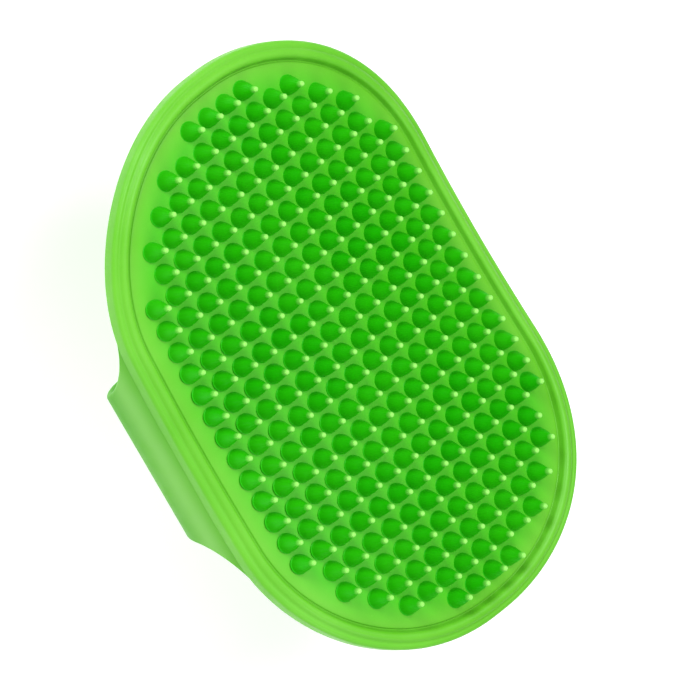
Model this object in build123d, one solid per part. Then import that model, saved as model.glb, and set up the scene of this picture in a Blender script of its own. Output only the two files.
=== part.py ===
from build123d import *
import math
import os

# A rubber curry brush: an oval, arched pad full of conical pins, with an adjustable
# hand strap behind it. Millimetres. X is the long axis, Z points out of the pins,
# and the origin is on the plane that the strap's two bends rest on.

# Pad
PAD_LENGTH = 123.8
PAD_WIDTH = 81.6
PAD_CORNER_R = 39.6
PAD_BACK_Z = 20.6
BACK_THICK = 1.3
FACE_THICK = 0.9
FLOOR_R = 166.0
ARCH_CENTRE_Z = PAD_BACK_Z + BACK_THICK + FACE_THICK - FLOOR_R

# Raised rim around the pad
RIM_WIDTH = 4.2
RIM_PROUD = 1.5
RIM_DEEP = 2.2
RIM_ROUND = 1.2

# Conical pins, all upright, on a square grid
ROW_COUNT = 14
PIN_PITCH = 4.88
PIN_HEIGHT = 5.5
PIN_BASE_R = 1.95
PIN_TIP_R = 0.55
PIN_ROOT_DEPTH = 0.45
PIN_FIELD_INSET = 7.2

# Strap: a side wall and a flap at each long edge
STRAP_THICK = 2.0
STRAP_HALF_WIDTH = 16.5
STRAP_MID_Y = 41.3
ROOT_Y = 39.3
ROOT_Z = 16.7
FLARE_R = 13.3
FLARE_Z = 2.2
BEND_R = 6.0
FOOT_END_Y = 28.5
BEND_CENTRE_Y = STRAP_MID_Y - BEND_R
BEND_CENTRE_Z = BEND_R + STRAP_THICK / 2

# Where each flap bends away from its side wall
HINGE_Y = 27.2
HINGE_Z = STRAP_THICK / 2

# Flap that lies outside, with three rows of two slots
SLOTTED_Z = 2.8
SLOTTED_STEP_START = 25.7
SLOTTED_STEP_END = 19.7
SLOTTED_END_Y = 16.5
SLOT_ROWS_Y = (-9.0, 0.0, 9.0)
SLOT_LENGTH = 7.0
SLOT_WIDTH = 6.6

# Flap that lies inside, with two studs
STUDDED_Z = 5.2
STUDDED_STEP_START = 26.2
STUDDED_STEP_END = 17.2
STUDDED_END_Y = 7.0
COLUMN_X = 9.0
STUD_NECK_R = 1.8
STUD_HEAD_R = 2.9
STUD_HEAD_BOTTOM = 0.2
STUD_HEAD_TOP = 1.5
STUD_HEAD_ROUND = 0.5
FLAP_CORNER_R = 7.0

# Lengths that only have to reach past the part
REACH = 160.0


def shell(inner_r, outer_r):
    """A length of tube along X, about the centre of the pad's arch."""
    outer = Cylinder(outer_r, REACH, rotation=(0, 90, 0))
    inner = Cylinder(inner_r, REACH, rotation=(0, 90, 0))
    return Pos(0, 0, ARCH_CENTRE_Z) * (outer - inner)


def oval(inset):
    """An upright prism on the pad's outline, moved inwards by inset."""
    outline = RectangleRounded(
        PAD_LENGTH - 2 * inset, PAD_WIDTH - 2 * inset, PAD_CORNER_R - inset
    )
    return extrude(outline, REACH / 2)


def pad_plate():
    """The arched back of the pad, inside the rim."""
    back_r = FLOOR_R - FACE_THICK - BACK_THICK
    return shell(back_r, FLOOR_R - FACE_THICK) & oval(RIM_WIDTH)


def rim_bead():
    """The thick rounded rim, which follows the pad's arch."""
    ring = shell(FLOOR_R - RIM_DEEP, FLOOR_R + RIM_PROUD) & (oval(0) - oval(RIM_WIDTH))
    faces = ring.faces().filter_by(GeomType.CYLINDER)
    top = faces.sort_by(Axis.Z)[-1]
    return fillet(top.edges(), RIM_ROUND)


def pin():
    """One pin on the Z axis, its foot just below the pad's face."""
    with BuildSketch(Plane.XZ) as profile:
        with BuildLine():
            flank = Line((PIN_BASE_R, 0), (PIN_TIP_R, PIN_HEIGHT - PIN_TIP_R))
            tip = RadiusArc(flank @ 1, (0, PIN_HEIGHT), -PIN_TIP_R)
            Polyline(tip @ 1, (0, -PIN_ROOT_DEPTH), (PIN_BASE_R, -PIN_ROOT_DEPTH), flank @ 0)
        make_face()
    return revolve(profile.sketch, Axis.Z)


def row_reach(offset):
    """How far the pin field reaches along X, in a row that far from the middle."""
    half_length = PAD_LENGTH / 2 - PAD_CORNER_R
    half_width = PAD_WIDTH / 2 - PAD_CORNER_R
    corner_r = PAD_CORNER_R - PIN_FIELD_INSET
    past_corner = max(offset - half_width, 0)
    return half_length + math.sqrt(corner_r ** 2 - past_corner ** 2)


def floor_z(y):
    """Height of the pad's face, that far from its middle line."""
    return ARCH_CENTRE_Z + math.sqrt(FLOOR_R ** 2 - y ** 2)


def row_band(place):
    """The upright slab of space for the row at that place, counted from the middle."""
    low = place * PIN_PITCH
    high = low + PIN_PITCH
    if place == ROW_COUNT // 2 - 1:
        high = PAD_WIDTH / 2
    return Pos(0, (low + high) / 2, 0) * Box(PAD_LENGTH, high - low, REACH)


def pin_row(place):
    """One row of pins on the +Y half, upright on its own strip of the pad's face."""
    strip = shell(FLOOR_R - FACE_THICK, FLOOR_R) & row_band(place) & oval(RIM_WIDTH)
    offset = (place + 0.5) * PIN_PITCH
    half_count = int(row_reach(offset) / PIN_PITCH)
    one_pin = pin()
    pins = []
    for column in range(-half_count, half_count + 1):
        pins.append(Pos(column * PIN_PITCH, offset, floor_z(offset)) * one_pin)
    return strip + pins


def strap_band(path):
    """A path of (Y, Z) points, given the strap's thickness and a generous width."""
    section = Plane.YZ * trace(path, STRAP_THICK)
    return extrude(section, REACH / 4, both=True)


def side_wall_path():
    """The -Y side wall: from under the rim, out and down, and round to the foot."""
    drop = ROOT_Z - BEND_CENTRE_Z
    lean = STRAP_MID_Y - ROOT_Y
    wall_r = (lean ** 2 + drop ** 2) / (2 * lean)
    wall_angle = math.degrees(math.asin(drop / wall_r))
    wall_centre = (wall_r - STRAP_MID_Y, BEND_CENTRE_Z)
    bend_centre = (-BEND_CENTRE_Y, BEND_CENTRE_Z)
    with BuildLine() as path:
        CenterArc(wall_centre, wall_r, 180 - wall_angle, wall_angle)
        CenterArc(bend_centre, BEND_R, 180, 90)
        Line((-BEND_CENTRE_Y, HINGE_Z), (-FOOT_END_Y, HINGE_Z))
    return path.wire()


def side_wall_front():
    """The side wall seen along Y: a band that flares into the pad's edge."""
    with BuildSketch(Plane.XZ) as front:
        Rectangle(2 * STRAP_HALF_WIDTH, ROOT_Z + FLARE_R, align=(Align.CENTER, Align.MIN))
        with Locations((0, FLARE_Z)):
            Rectangle(
                2 * (STRAP_HALF_WIDTH + FLARE_R), 2 * FLARE_R, align=(Align.CENTER, Align.MIN)
            )
        for side in (-1, 1):
            with Locations((side * (STRAP_HALF_WIDTH + FLARE_R), FLARE_Z)):
                Circle(FLARE_R, mode=Mode.SUBTRACT)
    return extrude(front.sketch, REACH / 2, both=True)


def strap_side():
    """The -Y side wall of the strap, stopping under the rim."""
    below_rim = Pos(0, 0, ARCH_CENTRE_Z) * Cylinder(
        FLOOR_R - RIM_DEEP, REACH, rotation=(0, 90, 0)
    )
    return strap_band(side_wall_path()) & side_wall_front() & below_rim


def flap_path(step_start, step_end, level, end_y):
    """A flap from the -Y hinge: level, then a gentle step up, then level again."""
    middle = (-(step_start + step_end) / 2, (HINGE_Z + level) / 2)
    with BuildLine() as path:
        Line((-HINGE_Y, HINGE_Z), (-step_start, HINGE_Z))
        rise = TangentArc((-step_start, HINGE_Z), middle, tangent=(1, 0))
        TangentArc(middle, (-step_end, level), tangent=rise % 1)
        Line((-step_end, level), (end_y, level))
    return path.wire()


def flap_outline(end_y):
    """The flap seen along Z: straight sides, and a free end with round corners."""
    length = end_y + HINGE_Y + STRAP_THICK
    with BuildSketch() as outline:
        with Locations((0, end_y - length / 2)):
            Rectangle(2 * STRAP_HALF_WIDTH, length)
        free_corners = outline.vertices().sort_by(Axis.Y)[-2:]
        fillet(free_corners, FLAP_CORNER_R)
    return extrude(outline.sketch, REACH / 2)


def flap(step_start, step_end, level, end_y):
    """A flap with a rounded knuckle about its hinge line."""
    band = strap_band(flap_path(step_start, step_end, level, end_y))
    knuckle = Pos(0, -HINGE_Y, HINGE_Z) * Cylinder(
        STRAP_THICK / 2, 2 * STRAP_HALF_WIDTH, rotation=(0, 90, 0)
    )
    return (band & flap_outline(end_y)) + knuckle


def slotted_flap():
    """The outer flap, with its adjusting slots."""
    body = flap(SLOTTED_STEP_START, SLOTTED_STEP_END, SLOTTED_Z, SLOTTED_END_Y)
    with BuildSketch() as slots:
        for row_y in SLOT_ROWS_Y:
            with Locations((-COLUMN_X, row_y), (COLUMN_X, row_y)):
                RectangleRounded(SLOT_WIDTH, SLOT_LENGTH, SLOT_WIDTH / 2 - 0.1)
    return body - extrude(slots.sketch, REACH / 2)


def studded_flap():
    """The inner flap, from the +Y hinge."""
    body = flap(STUDDED_STEP_START, STUDDED_STEP_END, STUDDED_Z, STUDDED_END_Y)
    return mirror(body, Plane.XZ)


def stud(x):
    """A stud under the inner flap: a neck, and a rounded head below the slots."""
    neck_top = STUDDED_Z - STRAP_THICK / 2
    head = Pos(x, 0, STUD_HEAD_BOTTOM) * Cylinder(
        STUD_HEAD_R,
        STUD_HEAD_TOP - STUD_HEAD_BOTTOM,
        align=(Align.CENTER, Align.CENTER, Align.MIN),
    )
    head = fillet(head.edges().filter_by(GeomType.CIRCLE), STUD_HEAD_ROUND)
    neck = Pos(x, 0, STUD_HEAD_TOP) * Cylinder(
        STUD_NECK_R,
        neck_top - STUD_HEAD_TOP,
        align=(Align.CENTER, Align.CENTER, Align.MIN),
    )
    return head + neck


def all_parts():
    """Every sub-part, by node name."""
    parts = {"pad_plate": pad_plate(), "rim_bead": rim_bead()}
    for place in range(ROW_COUNT // 2):
        row = pin_row(place)
        parts[f"pin_row_{ROW_COUNT // 2 + 1 + place:02d}"] = row
        parts[f"pin_row_{ROW_COUNT // 2 - place:02d}"] = mirror(row, Plane.XZ)
    parts["strap_side_slotted"] = strap_side()
    parts["strap_side_studded"] = mirror(strap_side(), Plane.XZ)
    parts["strap_flap_slotted"] = slotted_flap()
    parts["strap_flap_studded"] = studded_flap()
    parts["strap_stud_left"] = stud(-COLUMN_X)
    parts["strap_stud_right"] = stud(COLUMN_X)
    return parts


os.makedirs("parts", exist_ok=True)
for node, shape in all_parts().items():
    export_step(shape, f"parts/{node}.step")
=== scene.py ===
import math
import random

import bpy
from mathutils import Matrix, Vector


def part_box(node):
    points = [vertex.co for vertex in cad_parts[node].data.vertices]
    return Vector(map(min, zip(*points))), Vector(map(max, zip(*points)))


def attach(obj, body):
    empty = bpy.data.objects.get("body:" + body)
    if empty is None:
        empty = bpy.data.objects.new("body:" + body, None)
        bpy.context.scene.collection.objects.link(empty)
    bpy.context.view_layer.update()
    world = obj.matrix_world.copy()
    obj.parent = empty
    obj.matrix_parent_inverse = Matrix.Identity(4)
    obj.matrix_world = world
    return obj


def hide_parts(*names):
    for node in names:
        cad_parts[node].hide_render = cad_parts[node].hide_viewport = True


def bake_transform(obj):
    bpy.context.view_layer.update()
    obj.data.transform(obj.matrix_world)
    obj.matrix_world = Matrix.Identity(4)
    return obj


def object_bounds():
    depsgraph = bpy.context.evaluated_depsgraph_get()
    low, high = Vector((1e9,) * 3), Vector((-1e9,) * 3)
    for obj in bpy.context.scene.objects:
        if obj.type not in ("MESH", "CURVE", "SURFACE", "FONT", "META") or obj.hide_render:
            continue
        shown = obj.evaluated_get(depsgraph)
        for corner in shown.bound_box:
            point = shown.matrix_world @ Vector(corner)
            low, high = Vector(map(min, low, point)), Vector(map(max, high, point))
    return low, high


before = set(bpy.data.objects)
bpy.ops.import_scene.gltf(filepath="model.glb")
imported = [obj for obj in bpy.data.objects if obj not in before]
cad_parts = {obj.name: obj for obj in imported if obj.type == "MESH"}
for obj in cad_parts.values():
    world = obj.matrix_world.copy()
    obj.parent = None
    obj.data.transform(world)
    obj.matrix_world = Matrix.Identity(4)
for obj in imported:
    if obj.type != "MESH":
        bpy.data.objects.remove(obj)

CAD_LOW, CAD_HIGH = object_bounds()
MM = 0.001
TURN = 2 * math.pi

# ---------------------------------------------------------------- sizes, in metres

# The pad's outline and arch, as the CAD has them
HALF_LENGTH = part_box("rim_bead")[1].x
HALF_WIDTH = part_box("rim_bead")[1].y
CORNER_R = 39.6 * MM
FLOOR_R = 166 * MM
FACE_THICK = 0.9 * MM
BACK_DEPTH = 2.2 * MM
ARCH_CENTRE_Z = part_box("pad_plate")[1].z + FACE_THICK - FLOOR_R

# The rim's section: inset from the outline, and height over the pad's face
RIM_WIDTH = 4.2 * MM
RIM_BOTTOM_R = 0.4 * MM
LIP_Z = 1.0 * MM
LIP_R = 0.8 * MM
CREASE_INSET = 1.3 * MM
CREASE_Z = 0.86 * MM
RIDGE_INSET = 2.45 * MM
RIDGE_Z = 1.5 * MM
RIDGE_R = 1.1 * MM
GROOVE_R = 0.2 * MM
FLOOR_START = RIM_WIDTH + 0.6 * MM

# How the pad's face and back are filled, as shares of the way to the middle line
FILL_SHARES = (0.12, 0.25, 0.4, 0.55, 0.7, 0.82, 0.92)

# How the soft pad has settled out of its arch, in pin pitches
SETTLE_ACROSS = -0.0038
SETTLE_ALONG = 0.0029
SETTLE_CORNERS = 0.93e-4
SETTLE_ENDS = -0.228e-4
SETTLE_TWIST = 0.0025

# Pins
ROWS = sorted(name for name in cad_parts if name.startswith("pin_row_"))
PIN_PITCH = 4.88 * MM
PIN_HEIGHT = 5.5 * MM
PIN_BASE_R = 1.95 * MM
PIN_TIP_R = 0.55 * MM
# Points down a pin's side: share of its height, and radius in millimetres
PIN_FLANK = ((0.15, 1.83), (0.3, 1.65), (0.45, 1.41), (0.6, 1.12), (0.75, 0.84), (0.9, 0.62))
PIN_FILLET_R = 0.15 * MM
PIN_SUNK = 0.45 * MM
PIN_FIELD_INSET = 7.2 * MM
PIN_SIDES = 20
PIN_LEAN = 1.0
PIN_SHRINK = 0.015

# Strap
STRAP_THICK = 2.0 * MM
STRAP_HALF_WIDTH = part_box("strap_flap_slotted")[1].x
STRAP_MID_Y = 41.3 * MM
ROOT_Y = 39.3 * MM
ROOT_Z = 16.7 * MM
FLARE_R = 13.3 * MM
FLARE_Z = 2.2 * MM
BEND_R = 6 * MM
FLAP_CORNER_R = 7 * MM
END_TURNS = (30, 55, 75, 86)
END_NARROWING = 1.2
PATH_STEP = 0.7 * MM

# The strap's root moves with the settled pad above this height
FOLLOW_Z = 7.0 * MM

# A crease under the rim, and a painted highlight: a soft paler band along the side wall
NECK_Z = 15.6 * MM
NECK_REACH = 1.6 * MM
NECK_DEPTH = 0.45 * MM
HIGHLIGHT_BAND_Z = 11.5 * MM
HIGHLIGHT_BAND_REACH = 4.0 * MM

SLOTTED = {
    "level": 2.8 * MM,
    "step": (25.7 * MM, 19.7 * MM),
    "end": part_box("strap_flap_slotted")[1].y,
}
STUDDED = {
    "level": 5.2 * MM,
    "step": (26.2 * MM, 17.2 * MM),
    "end": -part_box("strap_flap_studded")[0].y,
}
SLOT_ROWS_Y = (-9 * MM, 0.0, 9 * MM)
SLOT_LENGTH = 7.0 * MM
SLOT_WIDTH = 6.6 * MM
SLOT_BEVEL = 0.4 * MM
SLOT_CUT = (-2 * MM, 8 * MM)
COLUMN_X = 9 * MM
STUD_NECK_R = 1.8 * MM
STUD_HEAD_TOP = 1.5 * MM
STUD_HEAD_ROUND = 0.65 * MM
STUD_ROOT_R = 0.5 * MM
STUD_SUNK = 0.3 * MM

# Floor, which lies below the strap when it hangs open
STAGE_DROP = 46 * MM
STAGE_HALF = 4.0


# ---------------------------------------------------------------- mesh helpers

def make_object(name, points, faces):
    """A smooth-shaded mesh object from points and faces."""
    mesh = bpy.data.meshes.new(name)
    mesh.from_pydata(points, [], faces)
    mesh.validate()
    for polygon in mesh.polygons:
        polygon.use_smooth = True
    obj = bpy.data.objects.new(name, mesh)
    bpy.context.scene.collection.objects.link(obj)
    return obj


def bridge(rings):
    """Quads between neighbouring rings of equal count, as faces of point numbers."""
    faces = []
    for low, high in zip(rings, rings[1:]):
        count = len(low)
        for i in range(count):
            j = (i + 1) % count
            faces.append((low[i], low[j], high[j], high[i]))
    return faces


def mark(obj, name, values):
    """Gives each point a number, which the object's material reads by name."""
    attribute = obj.data.attributes.new(name, "FLOAT", "POINT")
    attribute.data.foreach_set("value", values)


def apply_modifiers(obj):
    """Turns the object's modifiers into its own mesh."""
    graph = bpy.context.evaluated_depsgraph_get()
    mesh = bpy.data.meshes.new_from_object(obj.evaluated_get(graph))
    obj.modifiers.clear()
    obj.data = mesh


def ease(share):
    """A share from 0 to 1, with a soft start and end."""
    return share * share * (3 - 2 * share)


def bump(value, centre, reach):
    """A smooth hill, 1 at the centre and near 0 beyond its reach."""
    return math.exp(-2 * ((value - centre) / reach) ** 2)


def arc(centre, radius, start, end, steps):
    """Points on an arc; angles in degrees."""
    points = []
    for i in range(steps + 1):
        angle = math.radians(start + (end - start) * i / steps)
        points.append((centre[0] + radius * math.cos(angle), centre[1] + radius * math.sin(angle)))
    return points


# ---------------------------------------------------------------- pad

def settle(x, y):
    """How far the soft pad lies above its moulded arch there."""
    u = x / PIN_PITCH
    v = y / PIN_PITCH
    bend = SETTLE_ACROSS * v ** 2 + SETTLE_ALONG * u ** 2 + SETTLE_TWIST * u * v
    return PIN_PITCH * (bend + SETTLE_CORNERS * (u * v) ** 2 + SETTLE_ENDS * u ** 4)


def on_arch(x, y, height):
    """The point that high over the pad's arched face."""
    rise = math.sqrt((FLOOR_R + height) ** 2 - y ** 2)
    return Vector((x, y, ARCH_CENTRE_Z + rise + settle(x, y)))


def outline(steps_per_corner=40, step=2 * MM):
    """Points round the pad's rounded rectangle, each with its inward direction."""
    flat_x = HALF_LENGTH - CORNER_R
    flat_y = HALF_WIDTH - CORNER_R
    corners = ((1, 1, 0), (-1, 1, 90), (-1, -1, 180), (1, -1, 270))
    rounds = []
    for side_x, side_y, start in corners:
        for i in range(steps_per_corner + 1):
            angle = math.radians(start + 90 * i / steps_per_corner)
            out = Vector((math.cos(angle), math.sin(angle)))
            place = Vector((side_x * flat_x, side_y * flat_y)) + out * CORNER_R
            rounds.append((place, -out))
    points = []
    for (place, inward), (after, _) in zip(rounds, rounds[1:] + rounds[:1]):
        points.append((place, inward))
        gap = (after - place).length
        extra = int(gap / step) if gap > 2 * step else 0
        for i in range(1, extra + 1):
            points.append((place.lerp(after, i / (extra + 1)), inward))
    return points


def rim_section():
    """The pad's section, from its back, round the rim, to the floor between the pins."""
    back = [(FLOOR_START, -BACK_DEPTH), (RIM_WIDTH / 2, -BACK_DEPTH)]
    bottom = arc((RIM_BOTTOM_R, -BACK_DEPTH + RIM_BOTTOM_R), RIM_BOTTOM_R, 270, 180, 8)
    lip = arc((LIP_R, LIP_Z - LIP_R), LIP_R, 180, 75, 8)
    crease = [(CREASE_INSET, CREASE_Z)]
    ridge = arc((RIDGE_INSET, RIDGE_Z - RIDGE_R), RIDGE_R, 145, 0, 12)
    groove = arc((RIM_WIDTH - GROOVE_R, 0), GROOVE_R, 180, 360, 8)
    floor = [(RIM_WIDTH + 0.15 * MM, 0.03 * MM), (FLOOR_START, 0)]
    return back + bottom + lip + crease + ridge + groove + floor


def pad_moulding():
    """The arched pad with its rim, as one closed skin without the pins."""
    around = outline()
    points = []
    rings = []

    def add_ring(places, height):
        rings.append(range(len(points), len(points) + len(places)))
        points.extend(on_arch(p.x, p.y, height) for p in places)

    inner_places = [p + inward * FLOOR_START for p, inward in around]
    spine = HALF_LENGTH - HALF_WIDTH
    middles = [Vector((max(-spine, min(spine, p.x)), 0)) for p in inner_places]
    for share in reversed(FILL_SHARES):
        add_ring([p.lerp(m, share) for p, m in zip(inner_places, middles)], -BACK_DEPTH)
    for inset, height in rim_section():
        add_ring([p + inward * inset for p, inward in around], height)
    for share in FILL_SHARES:
        add_ring([p.lerp(m, share) for p, m in zip(inner_places, middles)], 0)
    faces = bridge(rings)
    faces.append(tuple(rings[-1]))
    faces.append(tuple(rings[0])[::-1])
    pad = make_object("pad_moulding", points, faces)
    # The floor among the pins is marked for a deeper green: painted shade and green bounce light
    # between the pins.
    first_in_field = rings[-len(FILL_SHARES)][0]
    mark(pad, "pin_field_shade", [float(i >= first_in_field) for i in range(len(points))])
    return pad


# ---------------------------------------------------------------- pins

def pin_section():
    """A pin's half outline: radius and height, from its sunk foot to its tip."""
    section = [(PIN_BASE_R + PIN_FILLET_R, -PIN_SUNK)]
    section += arc((PIN_BASE_R + PIN_FILLET_R, PIN_FILLET_R), PIN_FILLET_R, 270, 190, 4)
    neck_z = PIN_HEIGHT - PIN_TIP_R
    for share, radius in PIN_FLANK:
        section.append((radius * MM, neck_z * share))
    section += arc((0, neck_z), PIN_TIP_R, 6, 84, 6)
    return section


def row_reach(offset):
    """How far the pin field reaches along X, in a row that far from the middle."""
    corner_r = CORNER_R - PIN_FIELD_INSET
    past_corner = max(abs(offset) - (HALF_WIDTH - CORNER_R), 0)
    return HALF_LENGTH - CORNER_R + math.sqrt(corner_r ** 2 - past_corner ** 2)


def pin_row(name, index, draws):
    """One row of pins, each with the small lean and height of a soft moulding."""
    offset = (index - (len(ROWS) - 1) / 2) * PIN_PITCH
    half_count = int(row_reach(offset) / PIN_PITCH)
    section = pin_section()
    points = []
    faces = []
    heights = []
    for column in range(-half_count, half_count + 1):
        foot = on_arch(column * PIN_PITCH, offset, 0)
        lean = Matrix.Rotation(math.radians(draws.gauss(0, PIN_LEAN)), 3, "X")
        lean = lean @ Matrix.Rotation(math.radians(draws.gauss(0, PIN_LEAN)), 3, "Y")
        stretch = 1 + draws.uniform(-PIN_SHRINK, 0.0)
        rings = []
        for radius, height in section:
            rings.append(range(len(points), len(points) + PIN_SIDES))
            for i in range(PIN_SIDES):
                turn = TURN * i / PIN_SIDES
                local = Vector((
                    radius * math.cos(turn), radius * math.sin(turn), height * stretch
                ))
                points.append(foot + lean @ local)
                heights.append(height / PIN_HEIGHT)
        faces += bridge(rings)
        faces.append(tuple(rings[0])[::-1])
        faces.append(tuple(rings[-1]))
    row = make_object(name, points, faces)
    # Each point's share of its pin's height, which the material uses to paint a pale highlight on
    # the tips.
    mark(row, "tip_highlight_height", heights)
    return row


# ---------------------------------------------------------------- strap

def strap_path(flap):
    """The strap's centre line as (y, z) points, from inside the rim to the free end."""
    bend_centre = (-STRAP_MID_Y + BEND_R, BEND_R + STRAP_THICK / 2)
    drop = ROOT_Z - bend_centre[1]
    lean = STRAP_MID_Y - ROOT_Y
    wall_r = (lean ** 2 + drop ** 2) / (2 * lean)
    wall_angle = math.degrees(math.asin(drop / wall_r))
    wall_centre = (wall_r - STRAP_MID_Y, bend_centre[1])
    path = arc(wall_centre, wall_r, 180 - wall_angle, 180, 16)
    path += arc(bend_centre, BEND_R, 180, 270, 24)[1:]
    start_y, end_y = -flap["step"][0], -flap["step"][1]
    low_z = STRAP_THICK / 2
    runs = (
        (bend_centre[0], start_y, low_z, low_z),
        (start_y, end_y, low_z, flap["level"]),
        (end_y, flap["end"] - STRAP_THICK / 2, flap["level"], flap["level"]),
    )
    for y0, y1, z0, z1 in runs:
        count = max(2, round((y1 - y0) / PATH_STEP))
        for i in range(1, count + 1):
            share = i / count
            path.append((y0 + (y1 - y0) * share, z0 + (z1 - z0) * ease(share)))
    return path


def strap_half_width(y, z, to_end):
    """Half the strap's width: flared under the rim, rounded at the free end."""
    half = STRAP_HALF_WIDTH
    if z > FLARE_Z:
        reach = min(z - FLARE_Z, FLARE_R * 0.99)
        half += FLARE_R - math.sqrt(FLARE_R ** 2 - reach ** 2)
    if to_end < FLAP_CORNER_R:
        side = FLAP_CORNER_R - to_end
        half -= FLAP_CORNER_R - math.sqrt(FLAP_CORNER_R ** 2 - side ** 2)
    return half


def strap_ring(half_width, half_thick):
    """The strap's section: a flat band with rounded edges, as (across, out) points."""
    edge = half_thick * 0.9
    flat = half_thick - edge
    section = []
    for side_x, side_t, start in ((1, 1, 0), (-1, 1, 90), (-1, -1, 180), (1, -1, 270)):
        centre = (side_x * (half_width - edge), side_t * flat)
        section += arc(centre, edge, start, start + 90, 5)
    return section


def strap_band(name, flap, mirror_y):
    """One half of the strap, as one skin, whose root follows the settled pad."""
    path = strap_path(flap)
    half_thick = STRAP_THICK / 2
    lengths = [0.0]
    for a, b in zip(path, path[1:]):
        lengths.append(lengths[-1] + math.dist(a, b))
    stations = []
    for i, (y, z) in enumerate(path):
        before = path[max(i - 1, 0)]
        after = path[min(i + 1, len(path) - 1)]
        along = Vector((after[0] - before[0], after[1] - before[1])).normalized()
        to_end = lengths[-1] - lengths[i] + half_thick
        thick = half_thick - NECK_DEPTH * bump(z, NECK_Z, NECK_REACH)
        stations.append((y, z, along, strap_half_width(y, z, to_end), thick))
    y, z, along, half, _ = stations[-1]
    for turn in END_TURNS:
        angle = math.radians(turn)
        stations.append((
            y + along.x * half_thick * math.sin(angle),
            z + along.y * half_thick * math.sin(angle),
            along,
            half - half_thick * (1 - math.cos(angle)) * END_NARROWING,
            half_thick * math.cos(angle),
        ))
    points = []
    rings = []
    # Each point's share of a painted highlight, a soft paler band along the side wall.
    highlight_share = []
    flip = -1 if mirror_y else 1
    for y, z, along, half, thick in stations:
        section = strap_ring(half, thick)
        rings.append(list(range(len(points), len(points) + len(section))))
        follow = ease(max(0.0, min(1.0, (z - FOLLOW_Z) / (ROOT_Z - FOLLOW_Z))))
        for across, out in section:
            place_y = flip * (y - along.y * out)
            rise = settle(across, place_y) * follow
            points.append(Vector((across, place_y, z + along.x * out + rise)))
            highlight_share.append(bump(z, HIGHLIGHT_BAND_Z, HIGHLIGHT_BAND_REACH))
    faces = bridge(rings)
    faces.append(tuple(rings[0])[::-1])
    faces.append(tuple(rings[-1]))
    obj = make_object(name, points, faces)
    mark(obj, "painted_highlight_band", highlight_share)
    if mirror_y:
        obj.data.flip_normals()
    return obj


def slot_cutter():
    """A block for each slot, with round ends."""
    points = []
    faces = []
    half_flat = (SLOT_LENGTH - SLOT_WIDTH) / 2
    for x in (-COLUMN_X, COLUMN_X):
        for row_y in SLOT_ROWS_Y:
            ends = arc((x, row_y + half_flat), SLOT_WIDTH / 2, 0, 180, 16)
            ends += arc((x, row_y - half_flat), SLOT_WIDTH / 2, 180, 360, 16)
            rings = []
            for z in SLOT_CUT:
                rings.append(range(len(points), len(points) + len(ends)))
                points += [(a, b, z) for a, b in ends]
            faces += bridge(rings)
            faces.append(tuple(rings[0])[::-1])
            faces.append(tuple(rings[1]))
    return make_object("slot_cutter", points, faces)


def cut_slots(strap):
    """Cuts the slots through the strap and rounds their rims."""
    cutter = slot_cutter()
    boolean = strap.modifiers.new("slots", "BOOLEAN")
    boolean.operation = "DIFFERENCE"
    boolean.solver = "EXACT"
    boolean.object = cutter
    bevel = strap.modifiers.new("rims", "BEVEL")
    bevel.width = SLOT_BEVEL
    bevel.segments = 3
    bevel.limit_method = "ANGLE"
    bevel.angle_limit = math.radians(60)
    apply_modifiers(strap)
    bpy.data.objects.remove(cutter)


def lathe(name, section, centre, sides=48):
    """A turned solid about a vertical axis, from (radius, height) points."""
    points = []
    rings = []
    for radius, height in section:
        rings.append(range(len(points), len(points) + sides))
        for i in range(sides):
            turn = TURN * i / sides
            points.append((
                centre[0] + radius * math.cos(turn), centre[1] + radius * math.sin(turn), height
            ))
    faces = bridge(rings)
    faces.append(tuple(rings[0])[::-1])
    faces.append(tuple(rings[-1]))
    return make_object(name, points, faces)


def stud(name):
    """A mushroom stud that hangs from the inner flap through a slot."""
    low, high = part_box(name)
    head_r = (high.x - low.x) / 2
    x = (low.x + high.x) / 2
    section = [(0.3 * MM, low.z), (1.2 * MM, low.z + 0.02 * MM), (2.0 * MM, low.z + 0.12 * MM)]
    section += arc((head_r - STUD_HEAD_ROUND, low.z + 0.75 * MM), STUD_HEAD_ROUND, -65, 60, 8)
    section += arc((STUD_NECK_R + 0.3 * MM, STUD_HEAD_TOP + 0.3 * MM), 0.3 * MM, 270, 180, 4)
    section += arc((STUD_NECK_R + STUD_ROOT_R, high.z - STUD_ROOT_R), STUD_ROOT_R, 180, 90, 5)
    section.append((STUD_NECK_R + STUD_ROOT_R, high.z + STUD_SUNK))
    return lathe(name + "_moulded", section, (x, 0))


# ---------------------------------------------------------------- materials

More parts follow.
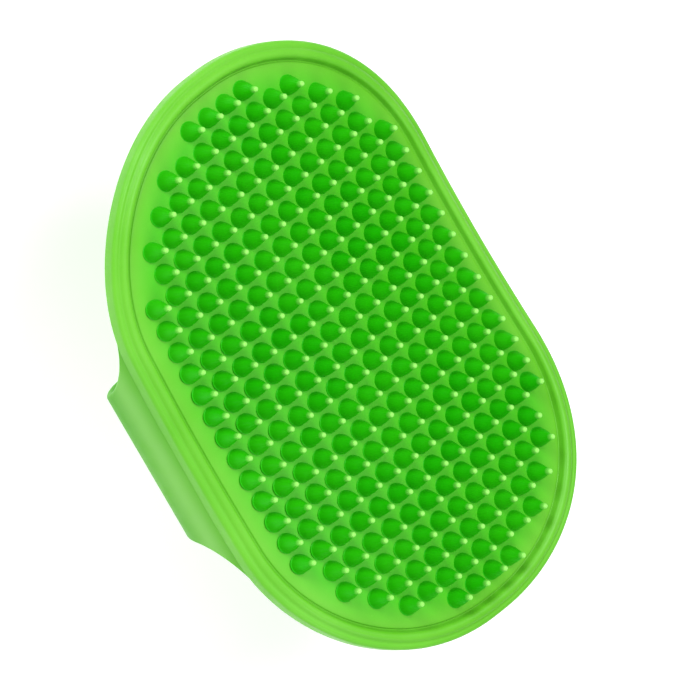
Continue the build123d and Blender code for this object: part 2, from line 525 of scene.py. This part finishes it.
def rubber(name, colour, pale, gloss, marks):
    """Satin moulded rubber: soft colour drift, fine grain and a little translucency.

    Each mark is (name, low, high, share, colour): that share of the colour is mixed in
    where the mesh's number of that name goes from low to high.
    """
    material = bpy.data.materials.new(name)
    material.use_nodes = True
    nodes = material.node_tree.nodes
    link = material.node_tree.links.new
    shader = nodes["Principled BSDF"]
    shader.inputs["IOR"].default_value = 1.5
    shader.inputs["Specular IOR Level"].default_value = gloss
    shader.inputs["Subsurface Weight"].default_value = 0.12
    shader.inputs["Subsurface Radius"].default_value = (0.6, 1.0, 0.3)
    shader.inputs["Subsurface Scale"].default_value = 1.2 * MM
    place = nodes.new("ShaderNodeTexCoord").outputs["Object"]

    def noise(scale, detail=3.0, roughness=0.5):
        node = nodes.new("ShaderNodeTexNoise")
        node.inputs["Scale"].default_value = scale
        node.inputs["Detail"].default_value = detail
        node.inputs["Roughness"].default_value = roughness
        link(place, node.inputs["Vector"])
        return node.outputs["Fac"]

    def spread(value, low, high, to_low, to_high):
        node = nodes.new("ShaderNodeMapRange")
        node.inputs["From Min"].default_value = low
        node.inputs["From Max"].default_value = high
        node.inputs["To Min"].default_value = to_low
        node.inputs["To Max"].default_value = to_high
        link(value, node.inputs["Value"])
        return node.outputs["Result"]

    def mix(share, first, second):
        # Sockets 6 and 7 are the node's two colours, and output 2 is its colour
        node = nodes.new("ShaderNodeMix")
        node.data_type = "RGBA"
        link(share, node.inputs["Factor"])
        for socket, value in ((node.inputs[6], first), (node.inputs[7], second)):
            if isinstance(value, tuple):
                socket.default_value = (*value, 1)
            else:
                link(value, socket)
        return node.outputs[2]

    drift = spread(noise(45, 2.0), 0.35, 0.65, 0.0, 0.55)
    base = mix(drift, colour, pale)
    specks = spread(noise(1400, 2.0, 0.7), 0.60, 0.78, 0.0, 0.35)
    base = mix(specks, base, pale)
    for mark_name, low, high, share, other in marks:
        value = nodes.new("ShaderNodeAttribute")
        value.attribute_name = mark_name
        base = mix(spread(value.outputs["Fac"], low, high, 0.0, share), base, other)
    link(base, shader.inputs["Base Color"])
    link(spread(noise(260, 3.0), 0.3, 0.7, 0.34, 0.5), shader.inputs["Roughness"])

    grain = nodes.new("ShaderNodeBump")
    grain.inputs["Strength"].default_value = 0.22
    grain.inputs["Distance"].default_value = 0.06 * MM
    link(noise(2600, 3.0, 0.6), grain.inputs["Height"])
    waves = nodes.new("ShaderNodeBump")
    waves.inputs["Strength"].default_value = 0.25
    waves.inputs["Distance"].default_value = 0.35 * MM
    link(noise(120, 1.5), waves.inputs["Height"])
    link(grain.outputs["Normal"], waves.inputs["Normal"])
    link(waves.outputs["Normal"], shader.inputs["Normal"])
    return material


def plain_floor():
    """A pale floor, far larger than the brush, and below its open strap."""
    corners = []
    for side_x, side_y in ((-1, -1), (1, -1), (1, 1), (-1, 1)):
        corners.append((side_x * STAGE_HALF, side_y * STAGE_HALF, CAD_LOW.z - STAGE_DROP))
    floor = make_object("floor", corners, [(0, 1, 2, 3)])
    material = bpy.data.materials.new("pale_floor")
    material.use_nodes = True
    shader = material.node_tree.nodes["Principled BSDF"]
    shader.inputs["Base Color"].default_value = (0.93, 0.93, 0.93, 1)
    shader.inputs["Roughness"].default_value = 0.9
    shader.inputs["Emission Color"].default_value = (1, 1, 1, 1)
    shader.inputs["Emission Strength"].default_value = 0.25
    floor.data.materials.append(material)


# ---------------------------------------------------------------- camera and light

CAMERA_AZIMUTH = -29.9
CAMERA_ELEVATION = 57.0
CAMERA_ROLL = -85.9
CAMERA_DISTANCE = 1.952
CAMERA_LENS = 530.3
AIM_RIGHT = -4.6 * MM
LIGHT_DISTANCE = 1.2


def camera_axes():
    """The camera's right, up and back directions."""
    azimuth = math.radians(CAMERA_AZIMUTH)
    elevation = math.radians(CAMERA_ELEVATION)
    roll = math.radians(CAMERA_ROLL)
    back = Vector((
        math.sin(azimuth) * math.cos(elevation),
        -math.cos(azimuth) * math.cos(elevation),
        math.sin(elevation),
    ))
    level_right = Vector((0, 0, 1)).cross(back).normalized()
    level_up = back.cross(level_right)
    up = level_up * math.cos(roll) + level_right * math.sin(roll)
    return up.cross(back), up, back


def make_camera():
    right, up, back = camera_axes()
    aim = Vector((0, 0, CAD_HIGH.z)) + right * AIM_RIGHT
    camera = bpy.data.objects.new("camera", bpy.data.cameras.new("camera"))
    camera.data.lens = CAMERA_LENS
    camera.data.sensor_width = 36
    axes = Matrix((right, up, back)).transposed().to_4x4()
    camera.matrix_world = Matrix.Translation(aim + back * CAMERA_DISTANCE) @ axes
    bpy.context.scene.collection.objects.link(camera)
    bpy.context.scene.camera = camera


def area_light(name, direction, size, energy):
    """A soft square light that faces the brush from that direction."""
    light = bpy.data.objects.new(name, bpy.data.lights.new(name, "AREA"))
    light.data.size = size
    light.data.energy = energy
    toward = Vector(direction).normalized()
    light.location = toward * LIGHT_DISTANCE
    light.rotation_mode = "QUATERNION"
    light.rotation_quaternion = toward.to_track_quat("Z", "Y")
    bpy.context.scene.collection.objects.link(light)


def make_lights():
    right, up, back = camera_axes()
    area_light("key", back * 1.0 + up * 0.7 - right * 0.35, 0.5, 7.2)
    area_light("overhead", Vector((0, 0, 1)) + up * 0.25, 0.6, 9.5)
    area_light("low_left", back * 0.3 - right * 1.0 - up * 0.3, 0.6, 3)
    area_light("below", Vector((0, 0, 0.8)) - up * 0.9, 0.8, 6)
    world = bpy.data.worlds.new("studio")
    world.use_nodes = True
    background = world.node_tree.nodes["Background"]
    background.inputs["Color"].default_value = (1, 1, 1, 1)
    background.inputs["Strength"].default_value = 0.5
    bpy.context.scene.world = world
    bpy.context.scene.view_settings.view_transform = "Standard"


# ---------------------------------------------------------------- the brush

# The pad's rubber; its floor among the pins is painted a deeper green, as shade between the pins.
pad_green = rubber(
    "pad_green", (0.10, 0.42, 0.014), (0.15, 0.50, 0.035), 0.28,
    [("pin_field_shade", 0.0, 1.0, 1.0, (0.06, 0.45, 0.008))],
)
# The pins' rubber is a deeper, darker copy of the pad's green: painted shade and green bounce
# light among the pins.
pin_green = rubber(
    "pin_green", (0.011, 0.39, 0.0005), (0.03, 0.46, 0.003), 0.15,
    # A painted highlight: the tips are mixed towards pale green.
    [("tip_highlight_height", 0.74, 1.0, 0.8, (0.34, 0.80, 0.16))],
)
strap_green = rubber(
    "strap_green", (0.068, 0.34, 0.005), (0.098, 0.40, 0.011), 0.2,
    # A painted highlight: a soft paler band along the side wall.
    [("painted_highlight_band", 0.0, 1.0, 0.5, (0.24, 0.57, 0.12))],
)


def finish_piece(obj, material, slot, *nodes):
    """Gives a piece its rubber and hides the CAD nodes it stands for."""
    obj.data.materials.clear()
    obj.data.materials.append(material)
    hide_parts(*nodes)


pad = pad_moulding()
finish_piece(pad, pad_green, "pad_rubber", "pad_plate", "rim_bead")
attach(pad, "brush")

draws = random.Random(7)
for index, row_name in enumerate(ROWS):
    row = pin_row(row_name.replace("pin_row", "pins"), index, draws)
    finish_piece(row, pin_green, "pin_rubber", row_name)
    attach(row, "brush")

strap_slotted = strap_band("strap_slotted", SLOTTED, mirror_y=False)
cut_slots(strap_slotted)
finish_piece(
    strap_slotted, strap_green, "strap_rubber", "strap_side_slotted", "strap_flap_slotted"
)
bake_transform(strap_slotted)

strap_studded = strap_band("strap_studded", STUDDED, mirror_y=True)
finish_piece(
    strap_studded, strap_green, "strap_rubber", "strap_side_studded", "strap_flap_studded"
)
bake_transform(strap_studded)

for stud_node in ("strap_stud_left", "strap_stud_right"):
    stud_piece = stud(stud_node)
    finish_piece(stud_piece, strap_green, "strap_rubber", stud_node)
    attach(stud_piece, "studded_flap")

plain_floor()
make_camera()
make_lights()
